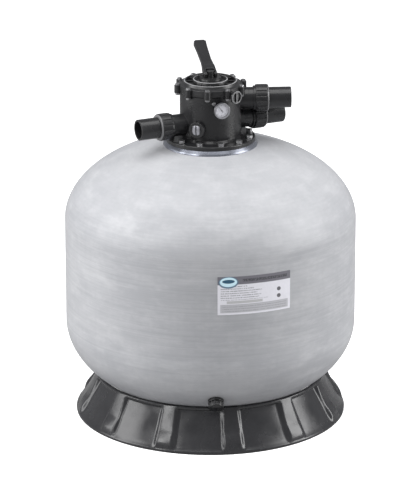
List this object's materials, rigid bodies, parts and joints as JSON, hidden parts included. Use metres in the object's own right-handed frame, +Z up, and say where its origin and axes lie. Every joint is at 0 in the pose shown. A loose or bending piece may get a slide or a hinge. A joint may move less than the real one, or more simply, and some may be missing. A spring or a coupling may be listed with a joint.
{
  "type": "sand filter tank",
  "caption": "Top-mount pool sand filter: round pressure tank on a ribbed skirt base, with a lever-operated multiport valve, pressure gauge, three pipe unions and a drain.",
  "frame": {"origin": "on the floor, on the tank's vertical axis", "axes": "+Z up along the tank's axis; -Y is the front, with the drain and the label; +X is the pump port's side"},
  "size_m": [0.7, 0.7001, 0.8897],
  "materials": {
    "fibreglass": "glossy filament-wound fibreglass with clear gelcoat",
    "collar": "satin grey",
    "base_plastic": "glossy black blow-moulded plastic",
    "black_plastic": "semi-gloss black injection-moulded plastic",
    "white_plastic": "matt",
    "seal": "matt",
    "steel": "brushed stainless",
    "brass": "machined",
    "chrome_trim": "polished",
    "label": "printed film",
    "dial": "printed",
    "needle": "matt",
    "clear": "clear moulded plastic"
  },
  "bodies": {
    "root": {"tank_dome": "fibreglass", "tank_mouth": "fibreglass", "tank_barrel": "fibreglass", "tank_bottom": "fibreglass", "tank_collar": "collar", "collar_oring": "seal", "support_base": "base_plastic", "rating_label": "label", "drain_fitting": "black_plastic", "drain_gasket": "seal", "drain_locknut": "black_plastic", "drain_strainer": "white_plastic", "drain_cap_oring": "seal", "valve_body": "black_plastic", "valve_seat": "black_plastic", "flange_bolts": "steel", "flange_washers": "steel", "valve_lid": "black_plastic", "lid_oring": "seal", "stem_orings": "seal", "lid_screws": "steel", "lid_nuts": "steel", "seat_gasket": "seal", "rotor_spring": "steel", "spring_washer_top": "steel", "gauge_stem": "brass", "gauge_case": "black_plastic", "gauge_dial": "dial", "gauge_lens": "clear", "gauge_bezel": "chrome_trim", "sight_glass": "clear", "sight_glass_oring": "seal", "sight_glass_collar": "black_plastic", "gauge_port_plug": "black_plastic", "plug_oring": "seal", "bleed_screw": "steel", "standpipe": "white_plastic", "lateral_hub": "black_plastic", "laterals": "white_plastic", "inlet_diffuser": "black_plastic", "pump_port": "black_plastic", "pump_union_tail": "black_plastic", "pump_union_oring": "seal", "return_port": "black_plastic", "return_union_tail": "black_plastic", "return_union_oring": "seal", "waste_port": "black_plastic", "waste_union_tail": "black_plastic", "waste_union_oring": "seal"},
    "selector": {"slip_washer": "black_plastic"},
    "rotor": {"rotor": "black_plastic", "handle_pin": "steel", "spring_washer_low": "steel"},
    "handle": {"handle": "black_plastic"},
    "gauge_needle": {"gauge_needle": "needle"},
    "pump_nut": {"pump_union_nut": "black_plastic"},
    "return_nut": {"return_union_nut": "black_plastic"},
    "waste_nut": {"waste_union_nut": "black_plastic"},
    "drain_cap": {"drain_cap": "black_plastic"}
  },
  "joints": [
    {"name": "selector_turn", "type": "hinge", "parent": "root", "child": "selector", "pos_m": [0, 0, 0.8352], "axis": [0, 0, 1], "continuous": true},
    {"name": "rotor_lift", "type": "slide", "parent": "selector", "child": "rotor", "axis": [0, 0, 1], "range_m": [0, 0.0064], "deforming": ["rotor_spring"]},
    {"name": "handle_press", "type": "hinge", "parent": "rotor", "child": "handle", "pos_m": [0, 0, 0.8432], "axis": [-0.9816, -0.1908, 0], "range_deg": [0, 18], "stiffness_Nm_per_rad": 2, "springref_deg": -5.73},
    {"name": "gauge_needle_turn", "type": "hinge", "parent": "root", "child": "gauge_needle", "pos_m": [0.02661, -0.08702, 0.7775], "axis": [-0.2924, 0.9563, 0], "range_deg": [-100, 170], "stiffness_Nm_per_rad": 0.0005},
    {"name": "pump_nut_turn", "type": "hinge", "parent": "root", "child": "pump_nut", "pos_m": [0.1217, 0.00851, 0.782], "axis": [0.9976, 0.0698, 0], "continuous": true},
    {"name": "return_nut_turn", "type": "hinge", "parent": "root", "child": "return_nut", "pos_m": [0.11057, 0.05156, 0.727], "axis": [0.9063, 0.4226, 0], "continuous": true},
    {"name": "waste_nut_turn", "type": "hinge", "parent": "root", "child": "waste_nut", "pos_m": [-0.11057, -0.05156, 0.727], "axis": [-0.9063, -0.4226, 0], "continuous": true},
    {"name": "drain_cap_turn", "type": "hinge", "parent": "root", "child": "drain_cap", "pos_m": [0.01321, -0.31515, 0.12068], "axis": [0.0304, -0.7249, -0.6882], "continuous": true}
  ],
  "couplings": [
    {"joint": "rotor_lift", "follows": "handle_press", "m_per_rad": 0.0201}
  ]
}
